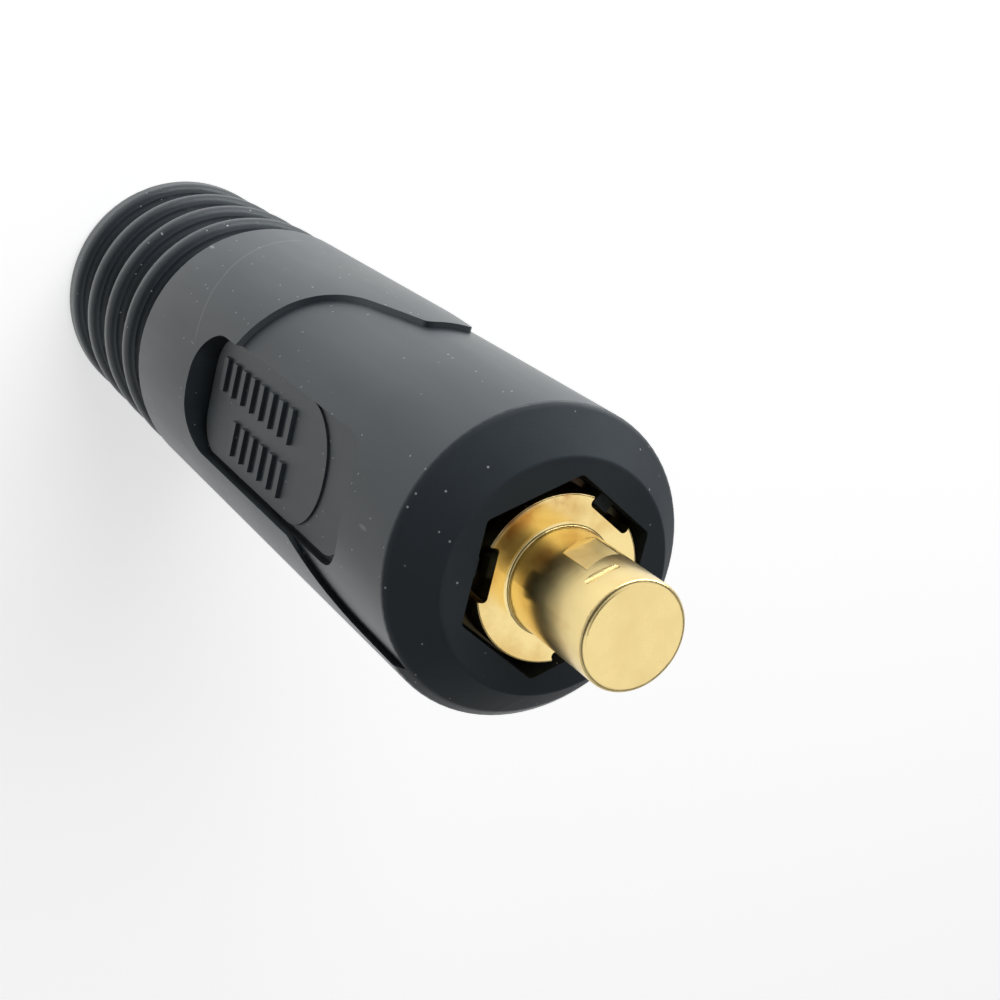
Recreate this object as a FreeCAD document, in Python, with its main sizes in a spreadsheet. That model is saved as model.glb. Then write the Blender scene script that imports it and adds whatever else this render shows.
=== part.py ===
import FreeCAD, Part
import math
import os
import Sketcher

# Welding cable plug: a moulded rubber sleeve round a turned brass contact.
# The plug stands on its cable end. Z runs from the cable end to the tip of the pin,
# and the origin is the middle of the cable end. The label recesses face -Y and +Y.
# All lengths are in millimetres.

doc = FreeCAD.newDocument("welding_cable_plug")
sheet = doc.addObject("Spreadsheet::Sheet", "sizes")


class Size:
    """A length of the plug: its number, and the sheet formula that gives it."""

    def __init__(self, number, formula):
        self.number = number
        self.formula = formula

    def joined(self, other, sign, number):
        right = other.formula if isinstance(other, Size) else repr(other)
        return Size(number, "(%s %s %s)" % (self.formula, sign, right))

    def __add__(self, other):
        return self.joined(other, "+", self.number + plain(other))

    def __sub__(self, other):
        return self.joined(other, "-", self.number - plain(other))

    def __mul__(self, other):
        return self.joined(other, "*", self.number * plain(other))

    def __truediv__(self, other):
        return self.joined(other, "/", self.number / plain(other))

    def __neg__(self):
        return self * -1


def plain(value):
    return value.number if isinstance(value, Size) else value


def named(alias, number, meaning):
    """Write one driving dimension into the sheet and hand it back as a Size."""
    named.row += 1
    sheet.set("A%d" % named.row, meaning)
    sheet.set("B%d" % named.row, str(number))
    sheet.setAlias("B%d" % named.row, alias)
    return Size(number, "sizes.%s" % alias)


named.row = 0

# Sleeve, outside
sleeve_length = named("sleeve_length", 91.5, "sleeve, cable end to front face")
body_radius = named("body_radius", 13.85, "raised rear body")
front_radius = named("front_radius", 13.3, "front cylinder, below the wavy step")
face_radius = named("face_radius", 10.0, "flat ring of the front face")
nose_length = named("nose_length", 3.7, "conical nose, measured along the axis")
nose_rounding = named("nose_rounding", 0.35, "edges of the conical nose")
raised_rounding = named("raised_rounding", 0.5, "front edge of the raised body")
body_edge = named("body_edge", 0.4, "rear edge of the raised body")

# Sleeve, ribbed bend relief
groove_count = 4
groove_width = named("groove_width", 4.0, "groove between two ribs")
groove_depth = named("groove_depth", 2.0, "groove, below the ribs")
rib_width = named("rib_width", 2.8, "rib")
end_rib_width = named("end_rib_width", 3.8, "last rib, at the cable end")
relief_taper = named("relief_taper", 0.3, "loss of rib radius from the body to the cable end")
rib_rounding = named("rib_rounding", 1.25, "crests of the ribs")
groove_rounding = named("groove_rounding", 1.2, "floors of the grooves")

# Sleeve, wavy step round the front cylinder
step_low = named("step_low", 50.0, "step beside the label recess, above the cable end")
step_low_across = named("step_low_across", 12.4, "place of that height, off the middle")
step_knee = named("step_knee", 53.2, "knee of the step, above the cable end")
step_knee_across = named("step_knee_across", 5.1, "knee of the step, off the middle")
step_knee_sweep = named("step_knee_sweep", 9.0, "sweep at the knee of the step")
short_tongue_top = named("short_tongue_top", 66.2, "end of the short tongue, above the cable end")
short_tongue_half = named("short_tongue_half", 2.3, "half the width of the short tongue's end")
short_tongue_rounding = named("short_tongue_rounding", 0.9, "corners of the short tongue")
long_tongue_foot = named("long_tongue_foot", 69.0, "where the long tongue leaves the recess")
long_tongue_knee = named("long_tongue_knee", 76.6, "knee of the long tongue, above the cable end")
long_tongue_across = named("long_tongue_across", 9.0, "knee of the long tongue, off the middle")
long_tongue_sweep = named("long_tongue_sweep", 30.0, "sweep at the knee of the long tongue")
long_tongue_edge = named("long_tongue_edge", 9.85, "front end of the long tongue, off the middle")

# Sleeve, label recess and its two raised plates
recess_floor = named("recess_floor", 11.0, "recess floor, off the axis")
recess_half = named("recess_half", 5.8, "half the width of the recess")
recess_rear = named("recess_rear", 43.0, "rear wall of the recess, above the cable end")
recess_front = named("recess_front", 79.4, "front rim of the recess, above the cable end")
recess_rear_rounding = named("recess_rear_rounding", 4.2, "rear corners of the recess")
recess_front_rounding = named("recess_front_rounding", 4.4, "front corners of the recess")
plate_rear_gap = named("plate_rear_gap", 1.9, "rear wall of the recess to its plates")
plate_rear_rounding = named("plate_rear_rounding", 3.4, "rear corners of the plates")
plate_side_gap = named("plate_side_gap", 0.6, "side wall of the recess to its plates, on +X")
lower_plate_height = named("lower_plate_height", 0.7, "lower plate, above the recess floor")
lower_plate_gap = named("lower_plate_gap", 1.3, "front rim of the recess to the lower plate")
lower_plate_rounding = named("lower_plate_rounding", 3.6, "front corners of the lower plate")
label_plate_height = named("label_plate_height", 0.9, "label plate, above the recess floor")
label_plate_gap = named("label_plate_gap", 7.2, "front rim of the recess to the label plate")
bar_height = named("bar_height", 0.35, "grip bar, above the label plate")
bar_width = named("bar_width", 0.9, "grip bar, along the plug")
bar_length = named("bar_length", 3.2, "grip bar, across the plug")
bar_pitch = named("bar_pitch", 2.3, "grip bar to grip bar")
bar_row_offset = named("bar_row_offset", 2.45, "middle of a row of bars, off the middle")
bar_row_end = named("bar_row_end", 63.5, "last grip bar, above the cable end")
bars_in_row = {-1: 8, 1: 6}

# Brass contact
pin_radius = named("pin_radius", 4.5085, "contact pin")
pin_reach = named("pin_reach", 11.15, "contact pin, in front of the flange")
pin_tip_rounding = named("pin_tip_rounding", 0.45, "edge of the pin's tip")
pin_root_rounding = named("pin_root_rounding", 0.35, "root of the pin on the flange")
flange_radius = named("flange_radius", 7.1, "flange")
flange_thickness = named("flange_thickness", 3.0, "flange")
flange_proud = named("flange_proud", 0.3, "flange, in front of the sleeve's face")
flange_edge = named("flange_edge", 0.25, "front edge of the flange")
notch_count = 3
notch_half = named("notch_half", 2.25, "half the width of a flange notch")
notch_rounding = named("notch_rounding", 0.4, "corners of a flange notch")
notch_floor = named("notch_floor", 5.95, "flat floor of a flange notch, off the axis")
contact_hex = named("contact_hex", 14.6, "hexagon of the contact, across its flats")
contact_hex_length = named("contact_hex_length", 14.0, "hexagon of the contact, along the axis")
barrel_radius = named("barrel_radius", 7.2, "clamp barrel")
barrel_length = named("barrel_length", 28.8, "clamp barrel, behind the hexagon")
retainer_offset = named("retainer_offset", 1.8, "retaining groove, behind the hexagon")
retainer_width = named("retainer_width", 2.5, "retaining groove")
retainer_floor = named("retainer_floor", 6.3, "floor radius of the retaining groove")
barrel_edge = named("barrel_edge", 0.6, "rear edge of the clamp barrel")
bore_radius = named("bore_radius", 3.8, "conductor bore")
bore_depth = named("bore_depth", 28.0, "conductor bore")
bore_mouth = named("bore_mouth", 0.6, "chamfer at the mouth of the conductor bore")
drill_point = named("drill_point", 2.2, "cone left by the drill at the bore's end")
pin_flat_offset = named("pin_flat_offset", 4.12, "milled flat of the pin, off the axis")
pin_flat_start = named("pin_flat_start", 3.4, "milled flat, in front of the sleeve's face")
pin_flat_length = named("pin_flat_length", 3.3, "milled flat, along the pin")
scoop_start = named("scoop_start", 8.6, "scoop of the pin, in front of the sleeve's face")
scoop_radius = named("scoop_radius", 0.5, "cutter that made the scoop")
scoop_depth = named("scoop_depth", 0.26, "scoop, below the pin's surface")
pin_flat_turn = -165.0
scoop_turn = -149.0
cam_slant = 20.0

# Sleeve, inside
fit_gap = named("fit_gap", 0.1, "rubber to brass, on each side")
mouth_hex = named("mouth_hex", 14.9, "hexagonal mouth of the sleeve, across its flats")
mouth_rounding = named("mouth_rounding", 0.6, "corners of the hexagonal mouth")
bead_gap = named("bead_gap", 0.3, "retaining bead to its groove, on each side")
barrel_room = named("barrel_room", 1.1, "room round the clamp barrel for its screws")
rear_room = named("rear_room", 1.0, "room behind the clamp barrel")
funnel_length = named("funnel_length", 7.0, "funnel between the cable bore and the barrel")
cable_radius = named("cable_radius", 6.4, "cable bore of the sleeve")
cable_mouth = named("cable_mouth", 0.8, "chamfer at the mouth of the cable bore")
key_half = named("key_half", 0.8, "half the width of a rubber key")
key_gap = named("key_gap", 0.5, "rubber key to the floor of its notch")
key_sink = named("key_sink", 1.4, "top of a rubber key, behind the sleeve's face")

# Clamp screws and copper liner
screw_radius = named("screw_radius", 2.95, "clamp screw, over its thread")
thread_gap = named("thread_gap", 0.05, "clamp screw to its tapped hole")
screw_length = named("screw_length", 4.0, "clamp screw")
screw_socket = named("screw_socket", 3.0, "hexagon socket of a screw, across its flats")
socket_depth = named("socket_depth", 2.0, "hexagon socket of a screw")
screw_edge = named("screw_edge", 0.5, "chamfered ends of a screw")
screw_first = named("screw_first", 8.0, "first clamp screw, from the barrel's rear end")
screw_pitch = named("screw_pitch", 9.5, "clamp screw to clamp screw")
liner_gap = named("liner_gap", 0.05, "copper liner to its bore, and to the screws")
liner_wall = named("liner_wall", 0.3, "copper liner")
liner_length = named("liner_length", 25.0, "copper liner")
liner_slit = named("liner_slit", 0.8, "slit of the rolled liner")
doc.recompute()

# Places along the axis that more than one piece shares
relief_top = end_rib_width + (groove_width + rib_width) * (groove_count - 1) + groove_width
nose_slope = nose_length / (front_radius - face_radius)
flange_face = sleeve_length + flange_proud
flange_back = flange_face - flange_thickness
hex_back = flange_back - contact_hex_length
barrel_back = hex_back - barrel_length
pin_tip = flange_face + pin_reach
retainer_top = hex_back - retainer_offset
liner_radius = bore_radius - liner_gap
HIGH = 20.0
OUTSIDE = 30.0


def origin_plane(body, role):
    return [f for f in body.Origin.OriginFeatures if f.Role == role][0]


def bind(feature, prop, size):
    if isinstance(size, Size):
        feature.setExpression(prop, size.formula)
    else:
        setattr(feature, prop, size)


def unit(start, end):
    run = math.hypot(end[0] - start[0], end[1] - start[1])
    return ((end[0] - start[0]) / run, (end[1] - start[1]) / run)


def place(sketch, index, point, corner):
    """Tie one point of the sketch to the two sizes of its corner."""
    for kind, axis, size in (("DistanceX", -2, corner[0]), ("DistanceY", -1, corner[1])):
        if isinstance(size, Size):
            number = sketch.addConstraint(
                Sketcher.Constraint(kind, -1, 1, index, point, size.number))
            sketch.setExpression("Constraints[%d]" % number, size.formula)
        elif size == 0:
            sketch.addConstraint(Sketcher.Constraint("PointOnObject", index, point, axis))
        else:
            sketch.addConstraint(Sketcher.Constraint(kind, -1, 1, index, point, size))


def outline(sketch, corners):
    """Closed outline through the corners (x, y) or (x, y, rounding), each tied to its sizes."""
    spots = [(plain(c[0]), plain(c[1])) for c in corners]
    count = len(corners)
    starts, ends, arcs = [], [], []
    for k, spot in enumerate(spots):
        into = unit(spot, spots[k - 1])
        out = unit(spot, spots[(k + 1) % count])
        if len(corners[k]) == 2:
            ends.append(spot)
            starts.append(spot)
            arcs.append(None)
            continue
        rounding = plain(corners[k][2])
        half = math.acos(max(-1.0, min(1.0, into[0] * out[0] + into[1] * out[1]))) / 2
        back = rounding / math.tan(half)
        reach = rounding / math.sin(half)
        middle = unit((0, 0), (into[0] + out[0], into[1] + out[1]))
        centre = (spot[0] + middle[0] * reach, spot[1] + middle[1] * reach)
        ends.append((spot[0] + into[0] * back, spot[1] + into[1] * back))
        starts.append((spot[0] + out[0] * back, spot[1] + out[1] * back))
        crest = (centre[0] - middle[0] * rounding, centre[1] - middle[1] * rounding)
        arcs.append((ends[-1], crest, starts[-1], centre))
    lines = []
    for k in range(count):
        first, last = starts[k], ends[(k + 1) % count]
        edge = Part.LineSegment(FreeCAD.Vector(*first, 0), FreeCAD.Vector(*last, 0))
        lines.append(sketch.addGeometry(edge, False))
    for k, corner in enumerate(corners):
        before, after = lines[k - 1], lines[k]
        if arcs[k] is None:
            sketch.addConstraint(Sketcher.Constraint("Coincident", before, 2, after, 1))
            place(sketch, after, 1, corner)
            continue
        first, crest, last, centre = arcs[k]
        turn = ((crest[0] - first[0]) * (last[1] - crest[1])
                - (crest[1] - first[1]) * (last[0] - crest[0]))
        bend = Part.Arc(*[FreeCAD.Vector(*p, 0) for p in (first, crest, last)])
        arc = sketch.addGeometry(bend, False)
        begin, finish = (1, 2) if turn > 0 else (2, 1)
        sketch.addConstraint(Sketcher.Constraint("Tangent", before, 2, arc, begin))
        sketch.addConstraint(Sketcher.Constraint("Tangent", arc, finish, after, 1))
        number = sketch.addConstraint(Sketcher.Constraint("Radius", arc, plain(corner[2])))
        if isinstance(corner[2], Size):
            sketch.setExpression("Constraints[%d]" % number, corner[2].formula)
        mark = sketch.addGeometry(Part.Point(FreeCAD.Vector(*spots[k], 0)), True)
        place(sketch, mark, 1, corner)
        sketch.addConstraint(Sketcher.Constraint("PointOnObject", mark, 1, before))
        sketch.addConstraint(Sketcher.Constraint("PointOnObject", mark, 1, after))


def hexagon(across):
    """Corners of a hexagon with two corners on the X axis."""
    turns = [math.radians(60 * k) for k in range(6)]
    reach = 1 / math.sqrt(3)
    return [(across * round(reach * math.cos(t), 9) if abs(math.cos(t)) > 1e-9 else 0,
             across * round(reach * math.sin(t), 9) if abs(math.sin(t)) > 1e-9 else 0)
            for t in turns]


def sketch_on(body, role, name, corners, offset=None):
    sketch = body.newObject("Sketcher::SketchObject", name)
    sketch.AttachmentSupport = [(origin_plane(body, role), "")]
    sketch.MapMode = "FlatFace"
    if offset is not None:
        sketch.AttachmentOffset = FreeCAD.Placement(
            FreeCAD.Vector(0, 0, plain(offset)), FreeCAD.Rotation())
        if isinstance(offset, Size):
            sketch.setExpression("AttachmentOffset.Base.z", offset.formula)
    outline(sketch, corners)
    doc.recompute()
    return sketch


def turned(body, kind, name, corners, plane="XZ_Plane"):
    """A revolved feature round the axis."""
    sketch = sketch_on(body, plane, name + "_profile", corners)
    feature = body.newObject("PartDesign::" + kind, name)
    feature.Profile = sketch
    feature.ReferenceAxis = (sketch, ["V_Axis"])
    feature.Angle = 360.0
    doc.recompute()
    return feature


def extruded(body, kind, name, sketch, length, reverse=False, both=False):
    feature = body.newObject("PartDesign::" + kind, name)
    feature.Profile = sketch
    bind(feature, "Length", length)
    feature.Reversed = reverse
    feature.Midplane = both
    doc.recompute()
    return feature


def ring_of(body, name, feature, count):
    """Copies of a feature, evenly spaced round the axis."""
    axis = origin_plane(body, "Z_Axis")
    pattern = body.newObject("PartDesign::PolarPattern", name)
    pattern.Originals = [feature]
    pattern.Axis = (axis, [""])
    pattern.Angle = 360.0
    pattern.Occurrences = count
    body.Tip = pattern
    doc.recompute()
    return pattern


def new_body(name):
    body = doc.addObject("PartDesign::Body", name)
    body.Label = name
    return body


def sleeve_nose(radius):
    """Height of the conical nose at a radius."""
    return sleeve_length - (radius - face_radius) * nose_slope


def raised_body(body):
    """The raised rear body: a thick ring that reaches the nose, before its front is cut back."""
    inner = front_radius - groove_depth
    turned(body, "Revolution", "raised_body", [
        (inner, relief_top),
        (body_radius, relief_top, body_edge),
        (body_radius, sleeve_nose(body_radius), raised_rounding),
        (inner, sleeve_nose(inner))])


def wavy_step(body):
    """Cut the raised body back to leave a short tongue on -X and a long one on +X."""
    front = sleeve_length + HIGH
    across = step_low_across * 2
    drop = (step_knee - step_low) * (step_low_across.number / (
        step_low_across.number - step_knee_across.number))
    corners = [
        (-across, step_low - drop),
        (-step_knee_across, step_knee, step_knee_sweep),
        (-short_tongue_half, short_tongue_top, short_tongue_rounding),
        (short_tongue_half, short_tongue_top, short_tongue_rounding),
        (step_knee_across, step_knee, step_knee_sweep),
        (across, step_low - drop),
        (across, front),
        (-across, front)]
    short = sketch_on(body, "YZ_Plane", "short_tongue_edge", corners)
    extruded(body, "Pocket", "short_tongue_side", short, OUTSIDE)
    corners = [
        (0, step_low),
        (recess_half, step_low),
        (recess_half, long_tongue_foot),
        (long_tongue_across, long_tongue_knee, long_tongue_sweep),
        (long_tongue_edge, sleeve_length),
        (long_tongue_edge, front),
        (0, front)]
    long_edge = sketch_on(body, "XZ_Plane", "long_tongue_outline", corners)
    extruded(body, "Pocket", "long_tongue_side", long_edge, OUTSIDE * 2, both=True)


def core(body):
    """Front cylinder, conical nose and ribbed bend relief, solid to the axis."""
    corners = [(0, 0)]
    low = end_rib_width * 0
    for k in range(groove_count):
        width = end_rib_width if k == 0 else rib_width
        high = low + width
        rib = body_radius - relief_taper * (1 - k / groove_count)
        floor = rib - groove_depth
        corners.append((rib, low if k else 0, rib_rounding))
        corners.append((rib, high, rib_rounding))
        corners.append((floor, high, groove_rounding))
        corners.append((floor, high + groove_width, groove_rounding))
        low = high + groove_width
    corners += [
        (front_radius, low),
        (front_radius, sleeve_nose(front_radius), nose_rounding),
        (face_radius, sleeve_length, nose_rounding),
        (0, sleeve_length)]
    turned(body, "Revolution", "core", corners)


def label_recess(body, side):
    """Recess with two stepped plates and two rows of grip bars; side is -1 for -Y, 1 for +Y."""
    tag = "minus" if side < 0 else "plus"
    outward = side > 0
    level = recess_floor * -side
    rear = recess_rear + plate_rear_gap
    right = recess_half - plate_side_gap
    rim = sketch_on(body, "XZ_Plane", "recess_rim_" + tag, [
        (-recess_half, recess_rear, recess_rear_rounding),
        (recess_half, recess_rear, recess_rear_rounding),
        (recess_half, recess_front, recess_front_rounding),
        (-recess_half, recess_front, recess_front_rounding)], level)
    extruded(body, "Pocket", "recess_" + tag, rim, OUTSIDE, reverse=not outward)
    front = recess_front - lower_plate_gap
    lower = sketch_on(body, "XZ_Plane", "lower_plate_edge_" + tag, [
        (-recess_half, rear, plate_rear_rounding),
        (right, rear, plate_rear_rounding),
        (right, front, lower_plate_rounding),
        (-recess_half, front, lower_plate_rounding)], level)
    extruded(body, "Pad", "lower_plate_" + tag, lower, lower_plate_height, reverse=outward)
    front = recess_front - label_plate_gap
    end_rounding = (recess_half + right) * 0.48
    label = sketch_on(body, "XZ_Plane", "label_plate_edge_" + tag, [
        (-recess_half, rear, plate_rear_rounding),
        (right, rear, plate_rear_rounding),
        (right, front, end_rounding),
        (-recess_half, front, end_rounding)], level)
    extruded(body, "Pad", "label_plate_" + tag, label, label_plate_height, reverse=outward)
    for row, bars in bars_in_row.items():
        middle = bar_row_offset * row
        start = bar_row_end - bar_pitch * (bars - 1)
        bar = sketch_on(body, "XZ_Plane", "bar_edge_%s_%d" % (tag, row + 1), [
            (middle - bar_length / 2, start),
            (middle + bar_length / 2, start),
            (middle + bar_length / 2, start + bar_width),
            (middle - bar_length / 2, start + bar_width)], level)
        first = extruded(body, "Pad", "bar_%s_%d" % (tag, row + 1), bar,
                         label_plate_height + bar_height, reverse=outward)
        rows = body.newObject("PartDesign::LinearPattern", "bars_%s_%d" % (tag, row + 1))
        rows.Originals = [first]
        rows.Direction = (origin_plane(body, "Z_Axis"), [""])
        rows.setExpression("Length", (bar_pitch * (bars - 1)).formula)
        rows.Occurrences = bars
        body.Tip = rows
        doc.recompute()


def sleeve_inside(body):
    """Cable bore, funnel, barrel room with its retaining bead, and the seat of the hexagon."""
    room = barrel_radius + barrel_room
    funnel_top = barrel_back - rear_room
    bead = retainer_floor + bead_gap
    close = barrel_radius + fit_gap
    turned(body, "Groove", "inside", [
        (0, -cable_mouth),
        (cable_radius + cable_mouth * 2, -cable_mouth),
        (cable_radius, cable_mouth),
        (cable_radius, funnel_top - funnel_length),
        (room, funnel_top),
        (room, retainer_top - retainer_width - bead_gap),
        (bead, retainer_top - retainer_width + bead_gap),
        (bead, retainer_top - bead_gap * 3),
        (close, retainer_top - bead_gap),
        (close, hex_back),
        (0, hex_back)])
    seat = sketch_on(body, "XY_Plane", "seat_edge", hexagon(contact_hex + fit_gap * 2), hex_back)
    extruded(body, "Pocket", "seat", seat, contact_hex_length + OUTSIDE, reverse=True)
    corners = [(x, y, mouth_rounding) for x, y in hexagon(mouth_hex)]
    mouth = sketch_on(body, "XY_Plane", "mouth_edge", corners, flange_back)
    extruded(body, "Pocket", "mouth", mouth, OUTSIDE, reverse=True)
    key_base = flange_back + fit_gap
    key = sketch_on(body, "XY_Plane", "key_edge", [
        (-key_half, -(mouth_hex / 2 + key_gap)),
        (key_half, -(mouth_hex / 2 + key_gap)),
        (key_half, -(notch_floor + key_gap)),
        (-key_half, -(notch_floor + key_gap))], key_base)
    first = extruded(body, "Pad", "key", key, sleeve_length - key_sink - key_base)
    ring_of(body, "keys", first, notch_count)


def insulating_sleeve():
    body = new_body("insulating_sleeve")
    raised_body(body)
    wavy_step(body)
    core(body)
    for side in (-1, 1):
        label_recess(body, side)
    sleeve_inside(body)
    return body


def brass_contact():
    """Pin, notched flange, hexagon and clamp barrel, turned and milled from one hexagon bar."""
    body = new_body("brass_contact")
    form = turned(body, "Revolution", "turned_form", [
        (0, barrel_back),
        (barrel_radius, barrel_back, barrel_edge),
        (barrel_radius, retainer_top - retainer_width),
        (retainer_floor, retainer_top - retainer_width),
        (retainer_floor, retainer_top),
        (barrel_radius, retainer_top),
        (barrel_radius, flange_back),
        (flange_radius, flange_back),
        (flange_radius, flange_face, flange_edge),
        (pin_radius, flange_face, pin_root_rounding),
        (pin_radius, pin_tip, pin_tip_rounding),
        (0, pin_tip)], "YZ_Plane")
    form.Midplane = True
    hexagon_edge = sketch_on(body, "XY_Plane", "hexagon_edge", hexagon(contact_hex), hex_back)
    extruded(body, "Pad", "hexagon", hexagon_edge, contact_hex_length)
    notch = sketch_on(body, "XY_Plane", "notch_edge", [
        (-notch_half, -(flange_radius + OUTSIDE)),
        (notch_half, -(flange_radius + OUTSIDE)),
        (notch_half, -notch_floor, notch_rounding),
        (-notch_half, -notch_floor, notch_rounding)], flange_back)
    first = extruded(body, "Pocket", "notch", notch, OUTSIDE, reverse=True)
    ring_of(body, "notches", first, notch_count)
    turned(body, "Groove", "conductor_bore", [
        (0, barrel_back - bore_mouth),
        (bore_radius + bore_mouth * 2, barrel_back - bore_mouth),
        (bore_radius, barrel_back + bore_mouth),
        (bore_radius, barrel_back + bore_depth),
        (0, barrel_back + bore_depth + drill_point)])
    for k in range(2):
        height = barrel_back + screw_first + screw_pitch * k
        hole = body.newObject("Sketcher::SketchObject", "tapped_hole_edge_%d" % k)
        hole.AttachmentSupport = [(origin_plane(body, "YZ_Plane"), "")]
        hole.MapMode = "FlatFace"
        tapped = screw_radius + thread_gap
        middle = FreeCAD.Vector(0, height.number, 0)
        circle = hole.addGeometry(
            Part.Circle(middle, FreeCAD.Vector(0, 0, 1), tapped.number), False)
        number = hole.addConstraint(Sketcher.Constraint("Radius", circle, tapped.number))
        hole.setExpression("Constraints[%d]" % number, tapped.formula)
        place(hole, circle, 3, (0, height))
        doc.recompute()
        extruded(body, "Pocket", "tapped_hole_%d" % k, hole, OUTSIDE, reverse=True)
    flat_middle = sleeve_length + pin_flat_start + pin_flat_length / 2
    flat = body.newObject("PartDesign::SubtractiveBox", "pin_flat")
    across = pin_radius * 4
    bind(flat, "Length", pin_radius)
    bind(flat, "Width", across)
    bind(flat, "Height", pin_flat_length)
    outward = FreeCAD.Rotation(FreeCAD.Vector(0, 0, 1), pin_flat_turn)
    slant = FreeCAD.Rotation(FreeCAD.Vector(1, 0, 0), cam_slant)
    corner = FreeCAD.Vector(pin_flat_offset.number, -across.number / 2, -pin_flat_length.number / 2)
    flat.Placement = FreeCAD.Placement(
        FreeCAD.Vector(0, 0, flat_middle.number), outward * slant) * FreeCAD.Placement(
        corner, FreeCAD.Rotation())
    scoop = body.newObject("PartDesign::SubtractiveCylinder", "pin_scoop")
    bind(scoop, "Radius", scoop_radius)
    bind(scoop, "Height", across)
    lie = FreeCAD.Rotation(FreeCAD.Vector(1, 0, 0), 90)
    reach = pin_radius + scoop_radius - scoop_depth
    scoop.Placement = FreeCAD.Placement(
        FreeCAD.Vector(0, 0, (sleeve_length + scoop_start).number),
        FreeCAD.Rotation(FreeCAD.Vector(0, 0, 1), scoop_turn)) * FreeCAD.Placement(
        FreeCAD.Vector(reach.number, across.number / 2, 0), lie)
    doc.recompute()
    return body


def clamp_screw(name, place_in_row):
    """Set screw with a hexagon socket, lying along +X in its tapped hole."""
    body = new_body(name)
    turned(body, "Revolution", "shank", [
        (0, 0),
        (screw_radius, 0, screw_edge),
        (screw_radius, screw_length, screw_edge),
        (0, screw_length)])
    socket = sketch_on(body, "XY_Plane", "socket_edge", hexagon(screw_socket), screw_length)
    extruded(body, "Pocket", "socket", socket, socket_depth)
    height = barrel_back + screw_first + screw_pitch * place_in_row
    body.Placement = FreeCAD.Placement(
        FreeCAD.Vector(bore_radius.number, 0, height.number),
        FreeCAD.Rotation(FreeCAD.Vector(0, 1, 0), 90))
    body.setExpression("Placement.Base.x", bore_radius.formula)
    body.setExpression("Placement.Base.z", height.formula)
    return body


def copper_liner():
    """Rolled copper foil, open along a slit, that lines the conductor bore."""
    outer = doc.addObject("Part::Cylinder", "liner_outside")
    bind(outer, "Radius", liner_radius)
    bind(outer, "Height", liner_length)
    inner = doc.addObject("Part::Cylinder", "liner_inside")
    bind(inner, "Radius", liner_radius - liner_wall)
    bind(inner, "Height", liner_length)
    tube = doc.addObject("Part::Cut", "liner_tube")
    tube.Base = outer
    tube.Tool = inner
    slit = doc.addObject("Part::Box", "liner_slit_cut")
    bind(slit, "Length", liner_radius * 2)
    bind(slit, "Width", liner_slit)
    bind(slit, "Height", liner_length)
    slit.Placement.Base = FreeCAD.Vector(-2 * liner_radius.number, -liner_slit.number / 2, 0)
    slit.setExpression("Placement.Base.x", (-(liner_radius * 2)).formula)
    slit.setExpression("Placement.Base.y", (-(liner_slit / 2)).formula)
    liner = doc.addObject("Part::Cut", "copper_liner")
    liner.Base = tube
    liner.Tool = slit
    liner.Label = "copper_liner"
    low = barrel_back + bore_mouth * 2
    liner.Placement.Base.z = low.number
    liner.setExpression("Placement.Base.z", low.formula)
    return liner


pieces = [
    insulating_sleeve(),
    brass_contact(),
    clamp_screw("clamp_screw_rear", 0),
    clamp_screw("clamp_screw_front", 1),
    copper_liner()]
doc.recompute()

for made in doc.Objects:
    if "Invalid" in made.State or "Error" in made.State:
        raise RuntimeError("%s is %s" % (made.Name, made.State))
for piece in pieces:
    if piece.Shape.isNull() or not piece.Shape.isValid() or len(piece.Shape.Solids) != 1:
        raise RuntimeError("%s is not one valid solid" % piece.Label)

os.makedirs("parts", exist_ok=True)
for piece in pieces:
    piece.Shape.exportStep("parts/%s.step" % piece.Label)
    box = piece.Shape.BoundBox
    print(piece.Label, "%.1f mm3" % piece.Shape.Volume,
          "z %.2f to %.2f" % (box.ZMin, box.ZMax),
          "x %.2f to %.2f" % (box.XMin, box.XMax),
          "y %.2f to %.2f" % (box.YMin, box.YMax))
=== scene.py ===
import math

import bpy
from mathutils import Matrix, Vector

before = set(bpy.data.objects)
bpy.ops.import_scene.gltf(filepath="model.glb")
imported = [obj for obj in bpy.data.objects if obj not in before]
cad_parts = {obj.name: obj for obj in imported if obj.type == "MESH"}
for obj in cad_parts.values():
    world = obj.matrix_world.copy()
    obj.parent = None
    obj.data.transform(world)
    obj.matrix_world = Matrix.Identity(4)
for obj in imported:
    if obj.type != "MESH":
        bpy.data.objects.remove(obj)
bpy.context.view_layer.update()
bpy.context.scene.view_settings.view_transform = "Standard"

# The photographer's place: above the pin, looking down along the plug onto its left side.
# The plug lies across the picture from top left to bottom right, so the camera is rolled.
CAMERA_AT = Vector((-0.0397484, -0.0752866, 0.1991022))
CAMERA_RIGHT = Vector((-0.233305, 0.851909, 0.468850))
CAMERA_UP = Vector((-0.938123, -0.070295, -0.339093))
LENS_MM = 63.47

camera_data = bpy.data.cameras.new("camera")
camera_data.sensor_width = 36.0
camera_data.lens = LENS_MM
camera_data.clip_start = 0.005
camera = bpy.data.objects.new("camera", camera_data)
camera_back = CAMERA_RIGHT.cross(CAMERA_UP).normalized()
turn = Matrix((CAMERA_RIGHT.normalized(), CAMERA_UP.normalized(), camera_back)).transposed()
camera.matrix_world = Matrix.Translation(CAMERA_AT) @ turn.to_4x4()
bpy.context.scene.collection.objects.link(camera)
bpy.context.scene.camera = camera


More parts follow.
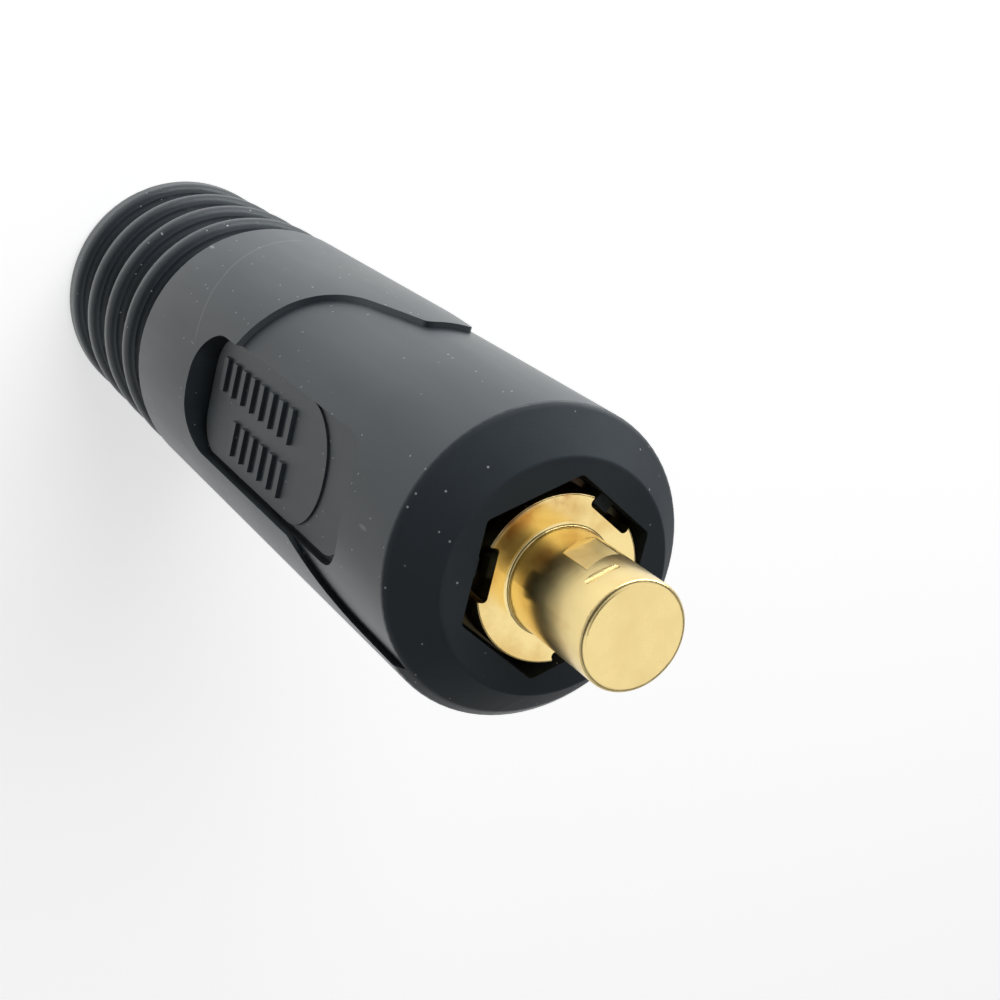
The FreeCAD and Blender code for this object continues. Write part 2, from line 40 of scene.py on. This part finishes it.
# Insulating sleeve: one piece of black rubber, moulded in a two-part mould that leaves the
# fine satin skin of its spark-eroded walls. It is pushed over the contact from the front, and
# it has picked up a little white dust and lint. Handling has polished its sides, not its nose.
RUBBER_BLACK = (0.020, 0.025, 0.031, 1.0)
RUBBER_WORN = (0.031, 0.038, 0.045, 1.0)
DUST_WHITE = (0.55, 0.56, 0.57, 1.0)
GRAIN_PER_METRE = 5200.0
CLOUD_PER_METRE = 55.0
DUST_PER_METRE = 330.0
POWDER_PER_METRE = 900.0
LINT_PER_METRE = 150.0
INSERT_LINE_FOOT = 0.0448
INSERT_LINE_SLOPE = 0.78
INSERT_LINE_HALF = 0.00012
INSERT_LINE_SIDE = (-0.0030, -0.0045)
NOSE_FROM = (0.0877, 0.0883)


class Wire:
    """An output socket that takes part in plain expressions: each adds a Math node."""

    def __init__(self, tree, socket):
        self.tree = tree
        self.socket = socket

    def worked_out(self, operation, first, second=None):
        node = self.tree.nodes.new("ShaderNodeMath")
        node.operation = operation
        for slot, value in enumerate((first, second)):
            if isinstance(value, Wire):
                self.tree.links.new(value.socket, node.inputs[slot])
            elif value is not None:
                node.inputs[slot].default_value = value
        return Wire(self.tree, node.outputs[0])

    def __add__(self, other):
        return self.worked_out("ADD", self, other)

    def __radd__(self, other):
        return self.worked_out("ADD", other, self)

    def __sub__(self, other):
        return self.worked_out("SUBTRACT", self, other)

    def __rsub__(self, other):
        return self.worked_out("SUBTRACT", other, self)

    def __mul__(self, other):
        return self.worked_out("MULTIPLY", self, other)

    def __rmul__(self, other):
        return self.worked_out("MULTIPLY", other, self)

    def __pow__(self, other):
        return self.worked_out("POWER", self, other)

    def bigger(self, other):
        return self.worked_out("MAXIMUM", self, other)

    def smaller(self, other):
        return self.worked_out("MINIMUM", self, other)

    def size(self):
        return self.worked_out("ABSOLUTE", self)

    def step(self, low, high):
        """Rises smoothly from 0 at low to 1 at high."""
        node = self.tree.nodes.new("ShaderNodeMapRange")
        node.interpolation_type = "SMOOTHSTEP"
        self.tree.links.new(self.socket, node.inputs["Value"])
        for name, value in (("From Min", min(low, high)), ("From Max", max(low, high)),
                            ("To Min", 0.0 if low < high else 1.0),
                            ("To Max", 1.0 if low < high else 0.0)):
            node.inputs[name].default_value = value
        return Wire(self.tree, node.outputs["Result"])


class Finish:
    """A material in the making: its tree, its shader and the place on the piece."""

    def __init__(self, name):
        self.material = bpy.data.materials.new(name)
        self.material.use_nodes = True
        self.tree = self.material.node_tree
        self.shader = self.tree.nodes["Principled BSDF"]
        self.place = self.node("ShaderNodeTexCoord", "Object")

    def node(self, kind, output, settings=None, **values):
        """Add a node; settings are set first, then values or wires on the named inputs."""
        made = self.tree.nodes.new(kind)
        for name, value in (settings or {}).items():
            setattr(made, name, value)
        for name, value in values.items():
            self.feed(made, name.replace("_", " "), value)
        return Wire(self.tree, made.outputs[output])

    def feed(self, node, name, value):
        spot = next(s for s in node.inputs if s.name == name and s.enabled)
        if isinstance(value, Wire):
            self.tree.links.new(value.socket, spot)
        else:
            spot.default_value = value

    def shade(self, **values):
        for name, value in values.items():
            self.feed(self.shader, name.replace("_", " "), value)

    def along(self):
        """Places x, y and z in metres."""
        apart = self.tree.nodes.new("ShaderNodeSeparateXYZ")
        self.tree.links.new(self.place.socket, apart.inputs[0])
        return [Wire(self.tree, s) for s in apart.outputs]

    def stretched(self, x, y, z):
        return self.node("ShaderNodeMapping", "Vector", Vector=self.place, Scale=(x, y, z))

    def noise(self, scale, detail=3.0, roughness=0.5, place=None):
        return self.node("ShaderNodeTexNoise", "Fac", Vector=place or self.place,
                         Scale=scale, Detail=detail, Roughness=roughness)

    def blend(self, amount, first, second):
        """Colour from first to second."""
        made = self.tree.nodes.new("ShaderNodeMix")
        made.data_type = "RGBA"
        for name, value in (("Factor", amount), ("A", first), ("B", second)):
            self.feed(made, name, value)
        spot = next(s for s in made.outputs if s.name == "Result" and s.enabled)
        return Wire(self.tree, spot)

    def bumped(self, height, strength, distance):
        return self.node("ShaderNodeBump", "Normal", Height=height, Strength=strength,
                         Distance=distance)


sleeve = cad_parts["insulating_sleeve"]
rubber = Finish("sleeve_rubber")
rubber_x, rubber_y, rubber_z = rubber.along()
cloud = rubber.noise(CLOUD_PER_METRE, detail=4.0)
grain = rubber.noise(GRAIN_PER_METRE, detail=2.0)
streaks = rubber.noise(1.0, detail=3.0, place=rubber.stretched(900.0, 900.0, 90.0))


def speck(finish, per_metre, size, rarity, stretch=(1.0, 1.0, 1.0)):
    """Scattered small marks: 1 on a mark, 0 elsewhere."""
    place = finish.stretched(*[per_metre * s for s in stretch])
    cell = finish.node("ShaderNodeTexVoronoi", "Distance", Vector=place, Scale=1.0)
    choice = finish.node("ShaderNodeTexVoronoi", "Color", Vector=place, Scale=1.0)
    lot = finish.node("ShaderNodeSeparateColor", "Red", Color=choice)
    return cell.step(size, size * 0.55) * lot.step(rarity, rarity + 0.02)


dust = speck(rubber, DUST_PER_METRE, 0.050, 0.72)
powder = speck(rubber, POWDER_PER_METRE, 0.105, 0.50)
lint = speck(rubber, LINT_PER_METRE, 0.055, 0.70, (1.0, 1.6, 0.28))
fluff = speck(rubber, LINT_PER_METRE, 0.050, 0.74, (1.9, 0.8, 0.45))
marks = dust.bigger(powder).bigger(lint * 0.7).bigger(fluff * 0.6)
insert_line = (rubber_z - rubber_x * INSERT_LINE_SLOPE - INSERT_LINE_FOOT).size()
insert_line = insert_line.step(INSERT_LINE_HALF * 2, INSERT_LINE_HALF * 0.4)
insert_line = insert_line * rubber_x.step(*INSERT_LINE_SIDE)
tone = rubber.blend(cloud.step(0.35, 0.70), RUBBER_BLACK, RUBBER_WORN)
tone = rubber.blend(insert_line * 0.12, tone, DUST_WHITE)
tone = rubber.blend(marks * 0.75, tone, DUST_WHITE)
handled = rubber.noise(1.0, detail=3.0, place=rubber.stretched(70.0, 70.0, 28.0))
nose = rubber_z.step(*NOSE_FROM)
rubber.shade(
    Base_Color=tone,
    Roughness=(cloud * 0.16 + streaks * 0.08 + 0.34 + nose * 0.22).smaller(0.66),
    Specular_IOR_Level=0.34,
    Specular_Tint=(0.80, 0.94, 1.0, 1.0),
    Coat_Weight=(handled * 0.75 + 0.38) * (1.0 - nose),
    Coat_Roughness=0.42,
    Coat_Tint=(0.96, 0.99, 1.0, 1.0),
    Normal=rubber.bumped(
        grain * 0.8 + streaks * 0.25 + insert_line * 1.5 + marks * 1.2, 0.35, 0.00004))
sleeve.data.materials.clear()
sleeve.data.materials.append(rubber.material)

# Contact: brass, turned and milled from hexagon bar. The lathe leaves fine rings on the pin's
# end and round its side, and the cutter leaves lines on the flat. The flange's rim is stained,
# and the brass deep in the sleeve's mouth is painted near black as shade. Lengths are along the
# plug's axis.
BRASS_BRIGHT = (0.96, 0.76, 0.35, 1.0)
BRASS_STAINED = (0.55, 0.25, 0.07, 1.0)
BRASS_DULL = (0.80, 0.56, 0.21, 1.0)
# Painted shade: the near-black colour given to the brass deep in the sleeve's mouth.
MOUTH_SHADE_BLACK = (0.010, 0.009, 0.008, 1.0)
TURNED_RING_PER_METRE = 9000.0
END_FACE_FROM = (0.10255, 0.10270)
MOUTH_SHADE_BELOW = (0.0893, 0.0890)
MOUTH_SHADE_ABOVE = (0.0850, 0.0870)
STAIN_BELOW = (0.0925, 0.0920)
STAIN_RADIUS = (0.0050, 0.0068)
STAIN_REACH = (0.0010, 0.0048)
MILLED_FROM = (0.0924, 0.0926)
MILLED_RADIUS = (0.00449, 0.00446)

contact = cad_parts["brass_contact"]
brass = Finish("contact_brass")
brass_x, brass_y, brass_z = brass.along()
radius = (brass_x * brass_x + brass_y * brass_y) ** 0.5
tool_wander = brass.noise(420.0, detail=2.0)
facing_rings = radius * TURNED_RING_PER_METRE * math.tau + tool_wander * 2.0
facing_rings = brass.node("ShaderNodeMath", "Value", {"operation": "SINE"}, Value=facing_rings)
side_rings = brass.noise(1.0, detail=4.0, place=brass.stretched(160.0, 160.0, 9000.0))
handling = brass.noise(1.0, detail=5.0, place=brass.stretched(900.0, 900.0, 260.0))
tarnish = brass.noise(260.0, detail=4.0)
end_face = brass_z.step(*END_FACE_FROM)
# Painted shade: the band of brass deep in the sleeve's mouth, between these two heights.
mouth_shade = brass_z.step(*MOUTH_SHADE_BELOW) * brass_z.step(*MOUTH_SHADE_ABOVE)
stained_side = (brass_x * -0.8 - brass_y * 0.6).step(*STAIN_REACH)
stain = (brass.noise(330.0, detail=4.0).step(0.40, 0.66) * radius.step(*STAIN_RADIUS)
         * stained_side * brass_z.step(*STAIN_BELOW))
milled = radius.step(*MILLED_RADIUS) * brass_z.step(*MILLED_FROM) * (1.0 - end_face)
cutter_lines = brass.noise(1.0, detail=3.0, place=brass.stretched(300.0, 5200.0, 900.0))
dulled = tarnish.step(0.45, 0.75) * (1.0 - end_face * 0.8)
brass_tone = brass.blend(dulled, BRASS_BRIGHT, BRASS_DULL)
brass_tone = brass.blend(stain * 0.9, brass_tone, BRASS_STAINED)
# Painted shade turns the brass deep in the mouth near black.
brass_tone = brass.blend(mouth_shade * 0.97, brass_tone, MOUTH_SHADE_BLACK)
brass.shade(
    Base_Color=brass_tone,
    Metallic=1.0,
    Roughness=tarnish * 0.10 + handling * 0.10 + 0.12 + end_face * 0.06 + milled * 0.22,
    Normal=brass.bumped(
        facing_rings * end_face * 0.3 + side_rings * 0.55 + handling * 0.3
        + cutter_lines * milled * 2.0, 0.22, 0.000012))
contact.data.materials.clear()
contact.data.materials.append(brass.material)

# Clamp screws: hardened steel set screws with a black oxide finish, driven in through the
# barrel's tapped holes before the sleeve goes on. They are hidden in the finished plug.
OXIDE_BLACK = (0.09, 0.09, 0.10, 1.0)
THREAD_PITCH = 0.001

oxide = Finish("screw_oxide")
thread_x, thread_y, thread_z = oxide.along()
thread = oxide.node("ShaderNodeMath", "Value", {"operation": "SINE"},
                    Value=thread_x * (math.tau / THREAD_PITCH))
oxide.shade(
    Base_Color=OXIDE_BLACK, Metallic=0.9,
    Roughness=oxide.noise(1500.0) * 0.2 + 0.3,
    Normal=oxide.bumped(thread, 0.8, 0.0002))
for screw_name in ("clamp_screw_rear", "clamp_screw_front"):
    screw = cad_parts[screw_name]
    screw.data.materials.clear()
    screw.data.materials.append(oxide.material)

# Copper liner: thin copper foil, rolled by hand round the stripped end of the conductor so
# that the screws press on it and not on the strands. It is hidden in the finished plug.
COPPER_RED = (0.78, 0.36, 0.22, 1.0)
COPPER_DARK = (0.45, 0.20, 0.12, 1.0)

foil = Finish("liner_foil")
creases = foil.noise(700.0, detail=4.0)
foil.shade(
    Base_Color=foil.blend(creases.step(0.4, 0.7), COPPER_RED, COPPER_DARK), Metallic=1.0,
    Roughness=creases * 0.2 + 0.25,
    Normal=foil.bumped(creases, 0.4, 0.0001))
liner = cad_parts["copper_liner"]
liner.data.materials.clear()
liner.data.materials.append(foil.material)

# Floor and light of a small product table: a plain white sheet that runs on past the picture,
# a long soft box low behind the plug, one high behind it, and a white reflector high round it
# that stops behind the camera. In reflections only, parts of the sheet carry painted shade: two
# patches near the plug, and everything far out.
FLOOR_HALF = 3.0
PAPER_WHITE = (0.86, 0.86, 0.86, 1.0)
PAPER_LIT = (1.0, 1.0, 1.0, 1.0)
PAPER_SHADED = (0.35, 0.35, 0.35, 1.0)
PAPER_GLOW = 0.64
# Painted shade seen only in reflections: the soft edge of its patches, and how far out the sheet
# turns darker.
SHADE_PATCH_EDGE = 0.020
FAR_REFLECTED_SHADE = (0.160, 0.245)
ROOM_LIGHT = 0.12
ROOM_DARK = 0.08
CAMERA_SIDE = (-0.469, -0.883)
HORIZON = (0.20, 0.0)
REFLECTOR_FOOT = (0.48, 0.60)
REFLECTOR_TOP = (0.98, 0.92)
REFLECTOR_GAP = (0.50, 0.34)
PLUG_MIDDLE = Vector((0.0, 0.0, 0.045))

floor_mesh = bpy.data.meshes.new("floor")
floor_mesh.from_pydata(
    [(-FLOOR_HALF, -FLOOR_HALF, 0), (FLOOR_HALF, -FLOOR_HALF, 0),
     (FLOOR_HALF, FLOOR_HALF, 0), (-FLOOR_HALF, FLOOR_HALF, 0)], [], [(0, 1, 2, 3)])
floor = bpy.data.objects.new("floor", floor_mesh)
bpy.context.scene.collection.objects.link(floor)
paper = Finish("floor_paper")
paper_x, paper_y, paper_z = paper.along()


def reflected_shade_patch(turn, along, across):
    """Painted shade for reflections: 1 on a soft-edged part of the sheet that runs out from the
    plug at a turn.
    """
    run_x = math.cos(math.radians(turn))
    run_y = math.sin(math.radians(turn))
    out = paper_x * run_x + paper_y * run_y
    side = paper_x * run_y - paper_y * run_x
    return (out.step(along[0], along[0] + SHADE_PATCH_EDGE) * out.step(along[1], along[1] - SHADE_PATCH_EDGE)
            * side.step(across[0], across[0] + SHADE_PATCH_EDGE)
            * side.step(across[1], across[1] - SHADE_PATCH_EDGE))


def sight(tree):
    """Whether a ray is straight, mirrored or refracted, each 1 or 0."""
    path = tree.nodes.new("ShaderNodeLightPath")
    return [Wire(tree, path.outputs[name])
            for name in ("Is Camera Ray", "Is Glossy Ray", "Is Transmission Ray")]


# Painted shade in reflections only: mirrored rays see these parts of the sheet darker, the
# camera sees the sheet plain.
reflected_shade_at_recess = reflected_shade_patch(290.0, (0.018, 0.078), (-0.042, 0.042))
reflected_shade_at_tail = reflected_shade_patch(242.0, (0.024, 0.070), (-0.038, 0.038))
far_reflected_shade = ((paper_x * paper_x + paper_y * paper_y) ** 0.5).step(*FAR_REFLECTED_SHADE)
shaded = reflected_shade_at_recess.bigger(reflected_shade_at_tail).bigger(far_reflected_shade)
straight, mirrored, refracted = sight(paper.tree)
paper.shade(Base_Color=PAPER_WHITE, Roughness=0.9,
            Emission_Color=paper.blend(shaded * mirrored, PAPER_LIT, PAPER_SHADED),
            Emission_Strength=straight.bigger(mirrored).bigger(refracted) * PAPER_GLOW)
floor_mesh.materials.append(paper.material)

world = bpy.data.worlds.new("studio")
world.use_nodes = True
bpy.context.scene.world = world
room = world.node_tree.nodes["Background"]
room.inputs["Color"].default_value = (1.0, 1.0, 1.0, 1.0)
sky_place = world.node_tree.nodes.new("ShaderNodeTexCoord")
sky_parts = world.node_tree.nodes.new("ShaderNodeSeparateXYZ")
world.node_tree.links.new(sky_place.outputs["Generated"], sky_parts.inputs[0])
sky_x, sky_y, height = [Wire(world.node_tree, s) for s in sky_parts.outputs]
toward_camera = sky_x * CAMERA_SIDE[0] + sky_y * CAMERA_SIDE[1]
reflector = (height.step(*REFLECTOR_FOOT) * height.step(*REFLECTOR_TOP)
             * toward_camera.step(*REFLECTOR_GAP))
wall = reflector.bigger(height.step(*HORIZON)) * (1.0 - ROOM_DARK) + ROOM_DARK
straight, mirrored, refracted = sight(world.node_tree)
seen = straight.bigger(mirrored).bigger(refracted)
room_level = seen * wall + (1.0 - seen) * ROOM_LIGHT
world.node_tree.links.new(room_level.socket, room.inputs["Strength"])


def soft_box(name, turn, away, height, size, watts, shiny):
    """A soft box at a turn round the plug; one that isn't shiny shows in no reflection."""
    lamp = bpy.data.lights.new(name, "AREA")
    lamp.shape = "RECTANGLE"
    lamp.size, lamp.size_y = size
    lamp.energy = watts
    place = Vector((away * math.cos(math.radians(turn)),
                    away * math.sin(math.radians(turn)), height))
    back = (place - PLUG_MIDDLE).normalized()
    stand = bpy.data.objects.new(name, lamp)
    stand.matrix_world = (Matrix.Translation(place)
                          @ back.to_track_quat("Z", "Y").to_matrix().to_4x4())
    stand.visible_camera = False
    stand.visible_glossy = shiny
    bpy.context.scene.collection.objects.link(stand)


soft_box("box_low", 156.0, 0.40, 0.048, (0.60, 0.072), 1.05, shiny=True)
soft_box("box_high", 178.0, 0.32, 0.42, (0.34, 0.34), 1.00, shiny=False)
